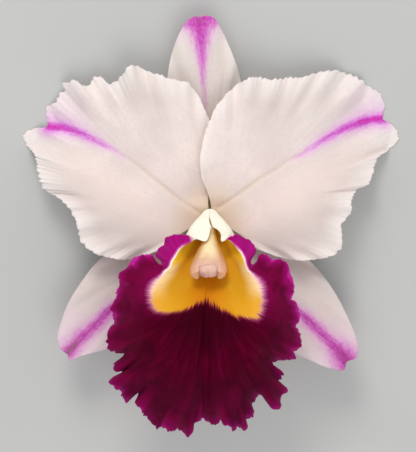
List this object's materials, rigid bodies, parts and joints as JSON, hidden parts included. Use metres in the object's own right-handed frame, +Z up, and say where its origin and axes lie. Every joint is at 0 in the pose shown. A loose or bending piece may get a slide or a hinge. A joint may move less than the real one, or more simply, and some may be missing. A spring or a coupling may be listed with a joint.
{
  "type": "cattleya orchid bloom",
  "caption": "Orchid bloom lying face up: pale sepals, broad ruffled petals and a deep magenta frilled lip round a cream column, with its cut green stalk behind.",
  "frame": {"origin": "middle of the bloom's footprint, on the surface it lies on", "axes": "+Z up, out of the face of the bloom; +Y towards the dorsal sepal; +X to the right as the bloom is looked at"},
  "size_m": [0.1551, 0.1635, 0.0578],
  "materials": {
    "petal_white": "satin",
    "lip_magenta": "matte",
    "column_cream": "satin",
    "cap_white": "satin",
    "stalk_green": "satin"
  },
  "bodies": {
    "root": {"sepal_dorsal": "petal_white", "sepal_left": "petal_white", "sepal_right": "petal_white", "petal_left": "petal_white", "petal_right": "petal_white", "lip": "lip_magenta", "column": "column_cream", "anther_cap": "cap_white", "stalk": "stalk_green"}
  },
  "joints": []
}
